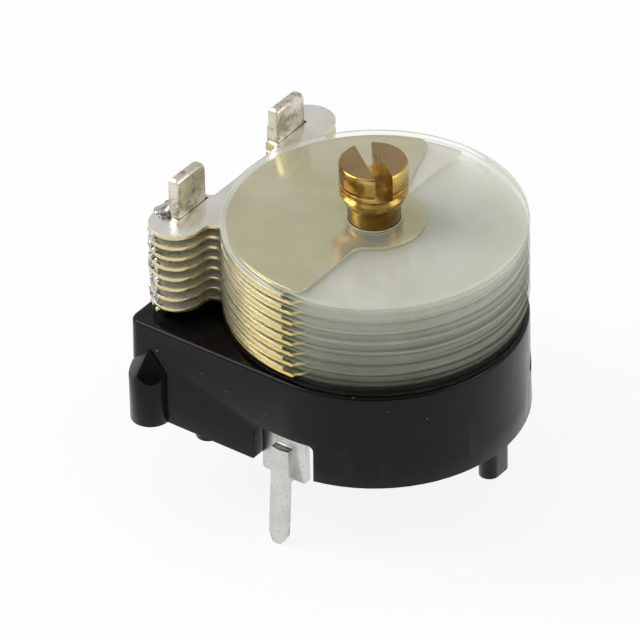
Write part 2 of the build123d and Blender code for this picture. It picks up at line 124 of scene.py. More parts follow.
def finish_piece(name: str, mesh: Mesh, slot: Slot, body: Body, replaces: str, flat_above: float = 30.0,
                 copied: bool = False, material: bpy.types.Material | None = None) -> None:
    """Turns a finished bmesh in millimetres into a dressed piece that rides on a body.

    Args:
        name: The piece's name.
        mesh: The mesh, which is freed.
        slot: The record's slot that its material stands for.
        body: The body it rides on.
        replaces: The CAD node that it stands for.
        flat_above: The angle in degrees from which an edge is drawn sharp.
        copied: Whether it comes from the CAD, so that its faces point outwards already.
        material: The material of all its faces, if not the slot's own.
    """
    if not copied:
        bmesh.ops.recalc_face_normals(mesh, faces=mesh.faces)
    bmesh.ops.scale(mesh, vec=(MM, MM, MM), verts=mesh.verts)
    for face in mesh.faces:
        face.smooth = True
    for edge in mesh.edges:
        edge.smooth = len(edge.link_faces) == 2 and edge.calc_face_angle(0.0) < math.radians(flat_above)
    piece = put_mesh(name, mesh)
    piece.data.materials.append(material or material_of(slot))
    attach(piece, body.value)
    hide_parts(replaces)
    LOG.info("%s: %d faces, rides on %s", name, len(piece.data.polygons), body.value)


def cad_copy(node: str) -> Mesh:
    """Copies a CAD node's mesh, in millimetres, with its loose triangles merged into whole faces.

    Args:
        node: The CAD node's name.

    Returns:
        The merged copy.
    """
    mesh = bmesh.new()
    mesh.from_mesh(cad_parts[node].data)
    bmesh.ops.scale(mesh, vec=(1 / MM, 1 / MM, 1 / MM), verts=mesh.verts)
    bmesh.ops.remove_doubles(mesh, verts=mesh.verts, dist=MERGE)
    bmesh.ops.dissolve_limit(mesh, angle_limit=math.radians(0.5), verts=mesh.verts, edges=mesh.edges)
    return mesh


def round_edges(mesh: Mesh, width: float, above: float = 25.0,
                keep: Callable[[bmesh.types.BMEdge], bool] = lambda edge: True) -> None:
    """Bevels the sharp edges of a mesh.

    Args:
        mesh: The mesh in millimetres.
        width: The bevel's width.
        above: The angle in degrees from which an edge counts as sharp.
        keep: Says of a sharp edge whether it is bevelled.
    """
    sharp = [e for e in mesh.edges if len(e.link_faces) == 2
             and e.calc_face_angle(0.0) > math.radians(above) and keep(e)]
    bmesh.ops.bevel(mesh, geom=sharp, offset=width, offset_type="OFFSET", segments=2,
                    profile=0.5, affect="EDGES", clamp_overlap=True, material=-1)


def spun(profile: list[Pair], steps: int, edge: float = 0.0, closed: bool = True) -> Mesh:
    """Spins an outline round the Z axis.

    Args:
        profile: Points (radius, height) in millimetres, in order.
        steps: The steps of the full turn.
        edge: The rounding of the outline's corners.
        closed: Whether the last point meets the first.

    Returns:
        The spun mesh, with its poles merged.
    """
    mesh = bmesh.new()
    points = [mesh.verts.new((r, 0, z)) for r, z in profile]
    for a, b in zip(points, points[1:] + points[:1] if closed else points[1:]):
        if a.co.x > 0 or b.co.x > 0:
            mesh.edges.new((a, b))
    if edge:
        corners = [v for v in points if v.co.x > edge]
        bmesh.ops.bevel(mesh, geom=corners, offset=edge, offset_type="OFFSET", segments=2,
                        profile=0.5, affect="VERTICES", clamp_overlap=True, material=-1)
    bmesh.ops.spin(mesh, geom=mesh.verts[:] + mesh.edges[:], cent=(0, 0, 0), axis=(0, 0, 1),
                   angle=2 * math.pi, steps=steps, use_merge=True, use_duplicate=False)
    bmesh.ops.remove_doubles(mesh, verts=mesh.verts, dist=MERGE)
    return mesh


def modified(work: bpy.types.Object, kind: str, **settings: object) -> Mesh:
    """Applies a modifier to a scratch object, which is removed.

    Args:
        work: The scratch object.
        kind: The modifier's type.
        settings: The modifier's attributes.

    Returns:
        The mesh that the modifier makes.
    """
    modifier = work.modifiers.new("step", kind)
    for key, value in settings.items():
        setattr(modifier, key, value)
    shown = work.evaluated_get(bpy.context.evaluated_depsgraph_get())
    result = bmesh.new()
    result.from_mesh(bpy.data.meshes.new_from_object(shown))
    bpy.data.objects.remove(work)
    return result


def cut(mesh: Mesh, tool: Mesh) -> Mesh:
    """Cuts one closed mesh out of another.

    Args:
        mesh: The mesh that is cut. It is freed.
        tool: The mesh that cuts it. It is freed.

    Returns:
        What is left.
    """
    for source in (mesh, tool):
        bmesh.ops.recalc_face_normals(source, faces=source.faces)
    blade = put_mesh("tool", tool)
    result = modified(put_mesh("work", mesh), "BOOLEAN", operation="DIFFERENCE", solver="EXACT",
                      object=blade)
    bpy.data.objects.remove(blade)
    return result


def melt(mesh: Mesh, voxel: float, rounds: int) -> Mesh:
    """Flows overlapping lumps into one skin.

    Args:
        mesh: The lumps, in millimetres. It is freed.
        voxel: The fineness of the skin in millimetres.
        rounds: How often the skin is smoothed.

    Returns:
        The one skin.
    """
    result = modified(put_mesh("lumps", mesh), "REMESH", mode="VOXEL", voxel_size=voxel)
    for _ in range(rounds):
        bmesh.ops.smooth_vert(result, verts=result.verts, factor=0.5, use_axis_x=True,
                              use_axis_y=True, use_axis_z=True)
    return result


# ---------------------------------------------------------------- node helpers


def srgb(code: str) -> tuple[float, float, float, float]:
    """Turns an sRGB hex colour into linear RGBA.

    Args:
        code: The colour as "#RRGGBB".

    Returns:
        The linear colour with alpha 1.
    """
    parts = [int(code[i:i + 2], 16) / 255 for i in (1, 3, 5)]
    linear = [c / 12.92 if c <= 0.04045 else ((c + 0.055) / 1.055) ** 2.4 for c in parts]
    return (linear[0], linear[1], linear[2], 1.0)


def feed(tree: Tree, node: bpy.types.Node, inputs: Inputs) -> None:
    """Sets or links a node's inputs.

    Args:
        tree: The node's tree.
        node: The node.
        inputs: What feeds them.
    """
    for key, value in inputs.items() if isinstance(inputs, Mapping) else enumerate(inputs):
        if isinstance(value, Socket):
            tree.links.new(value, node.inputs[key])
        else:
            node.inputs[key].default_value = srgb(value) if isinstance(value, str) else value


def add_node(tree: Tree, kind: str, inputs: Inputs = (), out: str | int = 0, stops: Stops = (),
             **settings: str) -> Socket:
    """Adds one node with its settings and links.

    Args:
        tree: The tree that gets the node.
        kind: The node's type name after "ShaderNode".
        inputs: What feeds its inputs.
        out: The name or number of the output that is wanted.
        stops: The stops, if it is a colour ramp.
        settings: The node's attributes.

    Returns:
        The wanted output.
    """
    node = tree.nodes.new("ShaderNode" + kind)
    for key, value in settings.items():
        setattr(node, key, value)
    for number, (where, colour) in enumerate(stops):
        node.color_ramp.elements[number].position = where
        node.color_ramp.elements[number].color = srgb(colour) if isinstance(colour, str) else colour
    feed(tree, node, inputs)
    return node.outputs[out]


def coats(tree: Tree, ground: Socket, *layers: tuple[Socket, str]) -> Socket:
    """Lays colours over each other.

    Args:
        tree: The material's tree.
        ground: The lowest colour.
        layers: How much each layer covers, with its hex colour.

    Returns:
        The colour that is seen.
    """
    for cover, colour in layers:
        # For colours the node's inputs A and B are numbers 6 and 7, and its output is number 2
        ground = add_node(tree, "Mix", {0: cover, 6: ground, 7: colour}, 2, data_type="RGBA")
    return ground


def relief(tree: Tree, *layers: tuple[Socket, float]) -> Socket:
    """Lays bumps over each other.

    Args:
        tree: The material's tree.
        layers: The pattern of each layer, with its depth in millimetres.

    Returns:
        The bent normal.
    """
    under = {}
    for height, depth in layers:
        normal = add_node(tree, "Bump", {"Height": height, "Strength": 1.0, "Distance": depth * MM, **under})
        under = {"Normal": normal}
    return normal


def facing_up(tree: Tree) -> Socket:
    """Returns a value that is 1 on faces that look up, 0 on upright ones and -1 underneath."""
    return add_node(tree, "SeparateXYZ", (add_node(tree, "NewGeometry", out="True Normal"),), "Z")


def from_axis(tree: Tree, place: Socket) -> Socket:
    """Returns how far a place lies from the shaft's axis."""
    level = add_node(tree, "VectorMath", (place, (1.0, 1.0, 0.0)), operation="MULTIPLY")
    return add_node(tree, "VectorMath", (level,), "Value", operation="LENGTH")


# ---------------------------------------------------------------- finishes


@dataclass(frozen=True)
class Grain:
    """A noise pattern of a real size in millimetres."""

    size: float
    detail: float = 3.0
    rough: float = 0.55
    twist: float = 0.0

    def draw(self, tree: Tree, place: Socket) -> Socket:
        """Returns the pattern's value at a place."""
        return add_node(tree, "TexNoise", {
            "Vector": place, "Scale": 1 / (self.size * MM), "Detail": self.detail,
            "Roughness": self.rough, "Distortion": self.twist})


@dataclass(frozen=True)
class Finish:
    """A procedural finish. Each subclass builds one real material."""

    name: str

    def sockets(self, tree: Tree, place: Socket) -> dict[str, Value]:
        """Adds the finish's nodes to a tree.

        Args:
            tree: The material's tree.
            place: The object coordinates.

        Returns:
            What feeds each socket of the shader.
        """
        raise NotImplementedError

    def make(self) -> bpy.types.Material:
        """Builds the material.

        Returns:
            The material.
        """
        material = bpy.data.materials.new(self.name)
        material.use_nodes = True
        tree = material.node_tree
        place = add_node(tree, "TexCoord", out="Object")
        feed(tree, tree.nodes["Principled BSDF"], self.sockets(tree, place))
        return material


@dataclass(frozen=True)
class MouldedPlastic(Finish):
    """Glass-filled black PBT, injection moulded against a lightly eroded tool.

    It is semi-matt, with a fine even grain, soft flow clouds and a few pale specks of glass and dust.
    """

    dark: str = "#070607"
    light: str = "#0E0D0D"
    speck: str = "#8F8D8A"
    # The tool's real grain is about 0.03 mm, and is drawn three times as coarse so that it shows
    cloud: Grain = Grain(2.2, 4.0)
    specks: Grain = Grain(0.16, 1.0)
    specked: Span = (0.79, 0.84, 0.0, 0.75)
    matt: Span = (0.3, 0.7, 0.18, 0.26)
    wave: Grain = Grain(0.9, 2.0)
    wave_depth: float = 0.012
    grain: Grain = Grain(0.09, 2.0)
    grain_depth: float = 0.004
    index: float = 1.55
    specular: float = 0.17

    def sockets(self, tree: Tree, place: Socket) -> dict[str, Value]:
        """Adds the plastic's nodes.

        Args:
            tree: The material's tree.
            place: The object coordinates.

        Returns:
            What feeds each socket of the shader.
        """
        cloud = self.cloud.draw(tree, place)
        black = add_node(tree, "ValToRGB", (cloud,), stops=[(0.3, self.dark), (0.75, self.light)])
        specked = add_node(tree, "MapRange", (self.specks.draw(tree, place), *self.specked))
        return {
            "Base Color": coats(tree, black, (specked, self.speck)),
            "Roughness": add_node(tree, "MapRange", (cloud, *self.matt)),
            "IOR": self.index,
            "Specular IOR Level": self.specular,
            "Normal": relief(tree, (self.wave.draw(tree, place), self.wave_depth),
                             (self.grain.draw(tree, place), self.grain_depth)),
        }


@dataclass(frozen=True)
class StretchedFilm(Finish):
    """Milky polypropylene film, stamped to a disc.

    It is glossy and cloudy and lets the plate under it show through. Where plates press it flat its
    rim is clear, and where it hangs free it is milky out to the rim.
    """

    body: str = "#F2F2E9"
    haze: str = "#E3E8D4"
    # A painted shade that the films take down the stack, where less light comes in
    low: str = "#97A283"
    # How much hides what lies under it: a free face and a pressed one, then what a free cut rim and
    # a pressed one add, and the ring round the hole
    cover: float = 0.52
    clear: float = 0.1
    rim: float = -0.12
    edge: float = 0.42
    ring: float = 0.0
    ring_width: float = 0.03
    ring_cover: float = 0.6
    cloud: Grain = Grain(2.6, 3.0, 0.5, 0.4)
    uneven: Span = (0.3, 0.7, -0.02, 0.05)
    scuff: Grain = Grain(0.6, 1.0)
    scuff_stretch: tuple[float, float, float] = (1.0, 0.25, 1.0)
    gloss: Span = (0.35, 0.7, 0.08, 0.12)
    ripple: Grain = Grain(1.4, 0.0)
    ripple_depth: float = 0.001
    # By height, by distance from the axis, by distance towards the free side and by slope
    shade_down_stack: Span = (7.4 * MM, 5.0 * MM, 0.0, 0.8)
    lowest: Span = (4.78 * MM, 5.15 * MM, 0.08, 0.8)
    lower: Span = (5.1 * MM, 7.4 * MM, 0.8, 1.0)
    near_rim: Span = (4.5 * MM, 4.66 * MM, 0.0, 1.0)
    pressed: Span = (0.9 * MM, -0.1 * MM, 0.0, 1.0)
    upright: Span = (0.98, 0.5, 0.0, 1.0)
    # Polypropylene has 1.49, but the cover thins the gloss too, so the index makes up for that
    index: float = 2.0

    def sockets(self, tree: Tree, place: Socket) -> dict[str, Value]:
        """Adds the film's nodes.

        Args:
            tree: The material's tree.
            place: The object coordinates.

        Returns:
            What feeds each socket of the shader.
        """
        cloud = self.cloud.draw(tree, place)
        milk = add_node(tree, "ValToRGB", (cloud,), stops=[(0.3, self.haze), (0.7, self.body)])
        # Down the stack less light comes in, so the films take a painted shade there, and they thin out so
        # that the black deck shows through the milky wall
        height = add_node(tree, "SeparateXYZ", (place,), "Z")
        shade_down_stack, lowest, lower = (add_node(tree, "MapRange", (height, *span))
                               for span in (self.shade_down_stack, self.lowest, self.lower))
        fade = add_node(tree, "Math", (lowest, lower), operation="MULTIPLY")
        # How near the rim a place is, and how far it lies on the side with the plates
        reach = from_axis(tree, place)
        near_rim = add_node(tree, "MapRange", (reach, *self.near_rim))
        across = add_node(tree, "SeparateXYZ", (place,), "X")
        pressed = add_node(tree, "MapRange", (across, *self.pressed))
        clear = add_node(tree, "Math", (near_rim, pressed), operation="MULTIPLY")
        cover = add_node(tree, "MapRange", (clear, 0.0, 1.0, self.cover, self.clear))
        uneven = add_node(tree, "MapRange", (cloud, *self.uneven))
        # The cut rim faces sideways and scatters more than the flat of the film
        level = add_node(tree, "Math", (facing_up(tree),), operation="ABSOLUTE")
        loose = add_node(tree, "MapRange", (clear, 0.0, 1.0, self.rim, self.edge))
        upright = add_node(tree, "MapRange", (level, *self.upright))
        side = add_node(tree, "Math", (loose, upright), operation="MULTIPLY")
        # The punched hole leaves a white stressed ring
        hole = add_node(tree, "MapRange", (reach, (self.ring + self.ring_width) * MM, self.ring * MM,
                                           0.0, self.ring_cover))
        for more in (uneven, side, hole):
            cover = add_node(tree, "Math", (cover, more), operation="ADD")
        scuffed = add_node(tree, "Mapping", {"Vector": place, "Scale": self.scuff_stretch})
        return {
            "Base Color": coats(tree, milk, (shade_down_stack, self.low)),
            "Alpha": add_node(tree, "Math", (cover, fade), operation="MULTIPLY"),
            "Roughness": add_node(tree, "MapRange", (self.scuff.draw(tree, scuffed), *self.gloss)),
            "IOR": self.index,
            "Normal": relief(tree, (self.ripple.draw(tree, place), self.ripple_depth)),
        }


@dataclass(frozen=True)
class SheetMetal(Finish):
    """Rolled sheet metal, stamped and plated or left bare.

    Fine rolling lines run along Y, and the plating is clouded, stained and specked.
    """

    base: str = "#C8C6BE"
    warm: str = "#B9B4A2"
    cloud: Grain = Grain(1.6, 4.0, 0.6, 0.3)
    stain: str = "#7C7562"
    stains: Grain = Grain(0.5, 5.0, 0.65, 0.5)
    stain_from: float = 0.68
    stain_edge: float = 0.12
    stain_cover: float = 0.6
    speck: str = "#5A564C"
    specks: Grain = Grain(0.07, 1.0)
    speck_from: float = 0.72
    speck_edge: float = 0.05
    speck_cover: float = 0.8
    worn: Pair = (0.35, 0.75)
    rough: Pair = (0.2, 0.34)
    # Real rolling lines are about 0.02 mm apart, and are drawn as coarse as they need to be to show
    roll: Grain = Grain(0.09, 2.0)
    roll_stretch: tuple[float, float, float] = (1.0, 0.06, 1.0)
    roll_depth: float = 0.0015
    dents: Grain = Grain(0.8, 2.0)
    dent_depth: float = 0.006
    cut: str = "#E6E2D4"
    cut_cover: float = 0.9
    core: str = ""
    under: float = 0.3
    dull: float = 0.5
    # By slope: the stamped rim, the broken part of it and the underside
    upright: Pair = (0.6, 0.2)
    torn: Span = (0.16, 0.08, 0.0, 1.0)
    beneath: Pair = (-0.5, -0.9)

    def sockets(self, tree: Tree, place: Socket) -> dict[str, Value]:
        """Adds the sheet metal's nodes.

        Args:
            tree: The material's tree.
            place: The object coordinates.

        Returns:
            What feeds each socket of the shader.
        """
        cloud, stains, specks, dents = (grain.draw(tree, place) for grain in
                                        (self.cloud, self.stains, self.specks, self.dents))
        rolled = add_node(tree, "Mapping", {"Vector": place, "Scale": self.roll_stretch})
        metal = add_node(tree, "ValToRGB", (cloud,), stops=[(0.32, self.warm), (0.62, self.base)])
        stained = add_node(tree, "MapRange", (stains, self.stain_from, self.stain_from + self.stain_edge,
                                              0.0, self.stain_cover))
        pitted = add_node(tree, "MapRange", (specks, self.speck_from, self.speck_from + self.speck_edge,
                                             0.0, self.speck_cover))
        # The stamped rim is bare bright metal
        up = facing_up(tree)
        level = add_node(tree, "Math", (up,), operation="ABSOLUTE")
        rim = add_node(tree, "MapRange", (level, *self.upright, 0.0, self.cut_cover))
        # Below the band that the punch polished, the cut broke and shows the metal under the plating
        torn = add_node(tree, "MapRange", (up, *self.torn))
        broken = add_node(tree, "Math", (rim, torn), operation="MULTIPLY")
        # The underside has lost its shine, and scatters light back out of the gaps
        shine = add_node(tree, "MapRange", (up, *self.beneath, 1.0, self.under))
        return {
            "Base Color": coats(tree, metal, (stained, self.stain), (pitted, self.speck),
                                (rim, self.cut), (broken, self.core or self.cut)),
            "Metallic": add_node(tree, "Math", (rim, -self.dull, shine), operation="MULTIPLY_ADD"),
            "Roughness": add_node(tree, "MapRange", (stains, *self.worn, *self.rough)),
            "Normal": relief(tree, (dents, self.dent_depth), (self.roll.draw(tree, rolled), self.roll_depth)),
        }


@dataclass(frozen=True)
class TurnedMetal(Finish):
    """Brass turned on an automatic lathe, bright where the tool cut last and browned on top.

    Feed rings run round the axis, the top face has arcs round the centre, and oil has browned it.
    """

    bright: str = "#D6B468"
    warm: str = "#7C5820"
    cloud: Grain = Grain(0.8, 3.0, 0.55, 0.4)
    brown: str = "#A08660"
    # By slope and by height
    facing: Span = (0.9, 0.99, 0.0, 0.9)
    browned: Span = (9.8 * MM, 9.9 * MM, 0.0, 1.0)
    # A painted shade on the neck, where the head hangs over it
    shade: str = "#70501F"
    shaded: Span = (8.53 * MM, 8.43 * MM, 0.0, 0.6)
    rough: Span = (0.35, 0.75, 0.16, 0.32)
    # The lathe's real feed is about 0.03 mm a turn, and its rings are drawn coarser so that they show
    rings: Grain = Grain(0.07, 1.0, 0.5)
    ring_depth: float = 0.0025
    wander: Grain = Grain(0.5, 2.0)
    wander_by: float = 0.03
    dents: Grain = Grain(0.3, 2.0)
    dent_depth: float = 0.003

    def sockets(self, tree: Tree, place: Socket) -> dict[str, Value]:
        """Adds the turned metal's nodes.

        Args:
            tree: The material's tree.
            place: The object coordinates.

        Returns:
            What feeds each socket of the shader.
        """
        height = add_node(tree, "SeparateXYZ", (place,), "Z")
        # Rings down the sides and arcs on the flat faces, none of them quite even
        wander = add_node(tree, "MapRange", (self.wander.draw(tree, place), 0.0, 1.0,
                                             0.0, self.wander_by * MM))
        along = from_axis(tree, place)
        for more in (height, wander):
            along = add_node(tree, "Math", (along, more), operation="ADD")
        rings = self.rings.draw(tree, add_node(tree, "CombineXYZ", (along,)))
        cloud = self.cloud.draw(tree, place)
        metal = add_node(tree, "ValToRGB", (cloud,), stops=[(0.32, self.warm), (0.62, self.bright)])
        # Browned where the face looks up near the top of the head, and a painted shade on the neck under the
        # head
        facing = add_node(tree, "MapRange", (facing_up(tree), *self.facing))
        high = add_node(tree, "MapRange", (height, *self.browned))
        brown = add_node(tree, "Math", (facing, high), operation="MULTIPLY")
        neck_shade = add_node(tree, "MapRange", (height, *self.shaded))
        return {
            "Base Color": coats(tree, metal, (neck_shade, self.shade), (brown, self.brown)),
            "Metallic": 1.0,
            "Roughness": add_node(tree, "MapRange", (cloud, *self.rough)),
            "Normal": relief(tree, (self.dents.draw(tree, place), self.dent_depth), (rings, self.ring_depth)),
        }


@dataclass(frozen=True)
class LumpySolder(Finish):
    """Tin-lead solder, melted on by hand: bright and smooth where it flowed, grey and grainy between."""

    bright: str = "#D4D3CE"
    grey: str = "#77756F"
    cloud: Grain = Grain(0.28, 4.0, 0.6, 0.8)
    rough: Span = (0.35, 0.65, 0.34, 0.12)
    grit: Grain = Grain(0.14, 3.0)
    grit_depth: float = 0.01

    def sockets(self, tree: Tree, place: Socket) -> dict[str, Value]:
        """Adds the solder's nodes.

        Args:
            tree: The material's tree.
            place: The object coordinates.

        Returns:
            What feeds each socket of the shader.
        """
        cloud = self.cloud.draw(tree, place)
        return {
            "Base Color": add_node(tree, "ValToRGB", (cloud,), stops=[(0.35, self.grey), (0.6, self.bright)]),
            "Metallic": 1.0,
            "Roughness": add_node(tree, "MapRange", (cloud, *self.rough)),
            "Normal": relief(tree, (self.grit.draw(tree, place), self.grit_depth)),
        }


# The upper film of each pair: its rim gets more cover than the others', a painted highlight that stands out
# pale against the film below
UPPER_FILM = StretchedFilm("bright-rimmed polypropylene film", rim=0.0)
# Lies alone on the stack: a thin veil with a white cut rim and a white ring round the shaft
TOP_FILM = StretchedFilm("clear polypropylene film", cover=0.32, clear=0.3, rim=0.5, ring=0.87)
FINISHES: dict[Slot, Finish] = {
    # Deep black with broad soft highlights
    Slot.BLACK_PLASTIC: MouldedPlastic("moulded black PBT"),
    # Milky and glossy, faintly greenish, and a darker greenish grey down the stack from a painted shade
    Slot.FILM: StretchedFilm("milky polypropylene film"),
    # Even pale yellow faces, and a golden rim where the punch cut
    Slot.BRASS_PLATE: SheetMetal(
        "stamped brass sheet", base="#CBC18E", warm="#C2B682", stain="#A89A68", stain_from=0.66,
        stain_cover=0.04, rough=(0.15, 0.2), speck_from=0.76, roll_depth=0.0002, dent_depth=0.0003,
        cut="#EACF74"),
    # Plain yellow metal, browned in spots
    Slot.BRASS_SPACER: SheetMetal(
        "brass spacer", base="#C9A658", warm="#A98742", stain="#6E5228", cut="#C9A658"),
    # Near white faces and rims, and a line of brass where the cut broke through
    Slot.SILVER_PLATE: SheetMetal(
        "silver-plated brass sheet", base="#F2F1EB", warm="#E6E2D2", stain="#C4BA98", stain_cover=0.35,
        rough=(0.22, 0.32), speck_from=0.75, roll_depth=0.0006, dent_depth=0.0015, cut="#F4F2EC",
        core="#DCC88A", dull=0.15),
    # Silver darkened and yellowed with a painted shade and a painted reflection of the brass plates, between
    # the ears
    Slot.SILVER_SPACER: SheetMetal(
        "silver-plated collar", base="#C6BFA4", warm="#A69C7C", cut="#C6BFA4"),
    # Warm grey and dull, with dark blots and small dents from handling
    Slot.TINNED_TAG: SheetMetal(
        "dull tinned brass tag", base="#ECE7DA", warm="#CEC7B5", stain="#6A6049", stain_from=0.5,
        rough=(0.3, 0.48), speck_from=0.68, dent_depth=0.012, cut_cover=0.0),
    # Cool pale grey with a silky sheen
    Slot.TINNED_SHEET: SheetMetal(
        "satin tinned steel sheet", base="#D6D8D4", warm="#BFC2BC", stain="#8E918B", rough=(0.3, 0.42),
        speck_from=0.69, dent_depth=0.008, cut_cover=0.0),
    # Reddish brown metal
    Slot.SPRING_BRONZE: SheetMetal(
        "rolled spring bronze", base="#B98A54", warm="#966C3E", stain="#5E4428", cut="#B98A54"),
    # Dark neutral grey metal
    Slot.CLIP_STEEL: SheetMetal(
        "oiled spring steel", base="#9A9B9C", warm="#7E7F80", stain="#4A4744", cut="#9A9B9C"),
    # Bright gold with fine rings, and a brown matt top
    Slot.TURNED_BRASS: TurnedMetal("turned free-cutting brass"),
    # Bright drops between grey ones
    Slot.SOLDER: LumpySolder("tin-lead solder"),
}
# The top plate's rim lies under the top film and shows no bright cut
TOP_PLATE = replace(FINISHES[Slot.BRASS_PLATE], name="unworn brass sheet", cut_cover=0.0)


@cache
def material_of(slot: Slot) -> bpy.types.Material:
    """Returns the material of a slot, built when first asked for."""
    return FINISHES[slot].make()


# ---------------------------------------------------------------- the pieces


@dataclass
class Stack:
    """The levels of the stack of films and plates, as the CAD model has them, in millimetres."""

    films: int = 18
    rotors: int = 9
    stators: int = 8
    pitch: float = 0.195
    film: float = 0.05
    gap: float = 0.0125
    plate: float = 0.12
    bottom: float = 4.565

    def plate_top(self, layer: int) -> float:
        """Returns the upper face of a plate, with layer 0 the lowest rotor plate."""
        return self.bottom + self.film + self.gap + layer * self.pitch + self.plate


@dataclass
class FilmStack:
    """The round films: thin discs that are never quite flat at the rim."""

    levels: Stack
    radius: float = 4.82
    hole: float = 1.3
    top_hole: float = 0.855
    # Each film lies a little off centre, in another direction than the one below
    play: float = 0.035
    lean_step: float = 137.5
    # Where the free side begins, across the stack and outwards
    free_x: Pair = (0.1, 1.3)
    free_radius: Pair = (1.7, 3.2)
    sag: float = 0.02
    wander: float = 0.018
    wander_size: float = 2.4
    pair_apart: float = 9.0
    tuck: float = 0.035
    lowest_drop: float = 0.08
    steps: int = 128
    rings: tuple[float, ...] = (0.15, 0.3, 0.45, 0.6, 0.75, 0.88)

    def disc(self, index: int) -> Mesh:
        """Builds one film.

        Args:
            index: 0 for the lowest film.

        Returns:
            The disc, which sags where no plate holds it.
        """
        low = self.levels.bottom + index * self.levels.pitch
        high = low + self.levels.film
        is_top = index == self.levels.films - 1
        outer = is_top or index == 0
        hole = self.top_hole if is_top else self.hole
        radii = [hole] + [hole + (self.radius - hole) * part for part in self.rings] + [self.radius]
        # A skin with its two cut rims: an underside would only double the haze
        profile = [(hole, low)] + [(r, high) for r in radii] + [(self.radius, low)]
        mesh = spun(profile, self.steps, closed=False)
        foot = {v for v in mesh.verts if v.co.z < (low + high) / 2 and v.co.xy.length > self.radius / 2}
        lean = math.radians(self.lean_step * index)
        play = 0.0 if is_top else self.play
        bmesh.ops.translate(mesh, verts=mesh.verts, vec=(play * math.cos(lean), play * math.sin(lean), 0))
        # Two films hold each stator plate between them, and come together where it ends
        pair = (index + 1) // 2
        towards = self.shift(index)
        drop = (self.levels.pitch - self.levels.film + towards - self.shift(index - 1) - self.wander
                if index else self.lowest_drop)
        for vert in mesh.verts:
            free = self.smooth(vert.co.x, *self.free_x) * self.smooth(vert.co.xy.length, *self.free_radius)
            swing = noise.noise(Vector((vert.co.x, vert.co.y, pair * self.pair_apart)) / self.wander_size)
            vert.co.z += free * (towards + (0 if outer else self.wander * max(-1.0, min(1.0, 2 * swing))))
            # The cut rim of a free film curls down and a little inwards, to the film below
            if vert in foot:
                vert.co.z -= free * drop
                vert.co.xy *= 1 - free * self.tuck / vert.co.xy.length
        return mesh

    def shift(self, index: int) -> float:
        """Tells how far the free side of a film moves towards the other film of its pair.

        Args:
            index: 0 for the lowest film.

        Returns:
            The way up in millimetres.
        """
        if index in (0, self.levels.films - 1):
            return 0.0
        return self.sag if index % 2 else -self.sag

    @staticmethod
    def smooth(value: float, low: float, high: float) -> float:
        """Returns 0 below low, 1 above high and an S-curve between."""
        part = min(1.0, max(0.0, (value - low) / (high - low)))
        return part * part * (3 - 2 * part)

    def build(self) -> None:
        """Builds and dresses all films."""
        top, upper = TOP_FILM.make(), UPPER_FILM.make()
        for index in range(self.levels.films):
            number = self.levels.films - index
            material = top if number == 1 else None if index % 2 else upper
            finish_piece(f"film_disc_{number}", self.disc(index), Slot.FILM, Body.STATOR,
                         f"film_{number}", material=material)


@dataclass(frozen=True)
class TagPlace:
    """Where the tags stand, and the rear inner corner of each, where ears, collars and solder end."""

    x: float = -5.29
    y: float = 2.602
    corner_x: float = -5.485
    corner_y: float = 1.852
    across: Pair = (0.7986, 0.6018)

    def past(self, place: Vector) -> float:
        """Returns how far a place lies behind the corner, seen along the tags' diagonal."""
        return -(self.across[0] * (place.x - self.corner_x)
                 + self.across[1] * (abs(place.y) - self.corner_y))


TAG = TagPlace()


@dataclass
class PlateStack:
    """The rotor and stator plates, stamped sheet with its edges rolled over by the punch."""

    levels: Stack
    rotor_edge: float = 0.02
    stator_edge: float = 0.05
    sharp: float = 60.0
    flat_above: float = 50.0
    rim: float = 4.6
    burr: float = 0.12
    slot_x: Pair = (-5.52, -5.06)
    slot_y: Pair = (1.82, 3.38)
    trim_x: float = -5.3
    trim_y: Pair = (1.6, 2.9)
    trim_past: float = 0.04

    def is_bevelled(self, edge: bmesh.types.BMEdge) -> bool:
        """Says whether an edge is rounded, as all are but those of the tags' slots."""
        return not all(self.slot_x[0] < vert.co.x < self.slot_x[1]
                       and self.slot_y[0] < abs(vert.co.y) < self.slot_y[1] for vert in edge.verts)

    def plate(self, node: str, name: str, slot: Slot, body: Body) -> None:
        """Copies one plate from the CAD, rounds its edges and dresses it.

        Args:
            node: The CAD node.
            name: The new piece's name.
            slot: The slot of its material.
            body: The body it rides on.
        """
        mesh = cad_copy(node)
        is_top = node == "rotor_plate_1"
        for vert in mesh.verts:
            # The rims of the rotor plates show just under the films' rims, but for the top one
            if body is Body.ROTOR and not is_top and vert.co.xy.length > self.rim:
                vert.co.xy *= 1 + self.burr / vert.co.xy.length
            # The rear inner corner of an ear ends at its tag
            if (body is Body.STATOR and vert.co.x < self.trim_x
                    and self.trim_y[0] < abs(vert.co.y) < self.trim_y[1]):
                past = max(0.0, TAG.past(vert.co) - self.trim_past)
                vert.co.x += past * TAG.across[0]
                vert.co.y += math.copysign(past * TAG.across[1], vert.co.y)
        round_edges(mesh, self.rotor_edge if body is Body.ROTOR else self.stator_edge, self.sharp,
                    self.is_bevelled)
        finish_piece(name, mesh, slot, body, node, self.flat_above, copied=True,
                     material=TOP_PLATE.make() if is_top else None)

    def build(self) -> None:
        """Builds all plates."""
        for number in range(1, self.levels.rotors + 1):
            self.plate(f"rotor_plate_{number}", f"rotor_sheet_{number}", Slot.BRASS_PLATE, Body.ROTOR)
        for number in range(1, self.levels.stators + 1):
            self.plate(f"stator_plate_{number}", f"stator_sheet_{number}", Slot.SILVER_PLATE, Body.STATOR)


